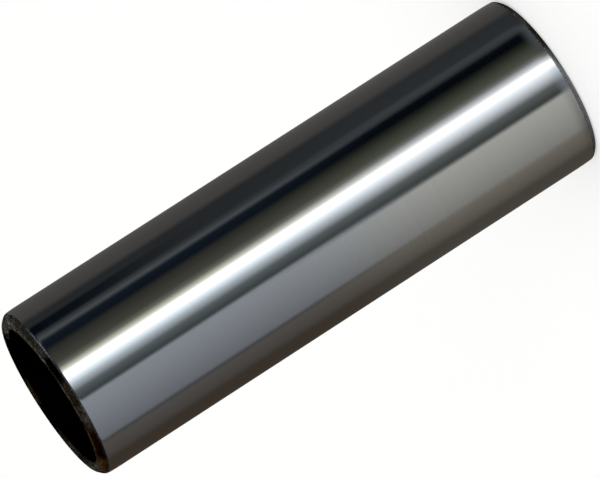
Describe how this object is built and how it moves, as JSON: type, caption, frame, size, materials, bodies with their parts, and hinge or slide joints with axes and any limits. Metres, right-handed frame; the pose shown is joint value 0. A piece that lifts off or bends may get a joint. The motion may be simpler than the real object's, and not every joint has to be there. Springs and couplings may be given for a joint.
{
  "type": "gudgeon pin",
  "caption": "Hollow gudgeon pin: a ground steel barrel with a straight bore and chamfered ends, which joins a piston to its connecting rod.",
  "frame": {"origin": "centre of the lower end face", "axes": "+Z along the pin's axis, towards the upper end; X and Y are equal, because the pin is a body of revolution"},
  "size_m": [0.02, 0.02, 0.0635],
  "materials": {
    "ground_steel": "superfinished barrel, turned ends with a thin brown oil film, dark bore"
  },
  "bodies": {
    "root": {"gudgeon_pin": "ground_steel"}
  },
  "joints": []
}
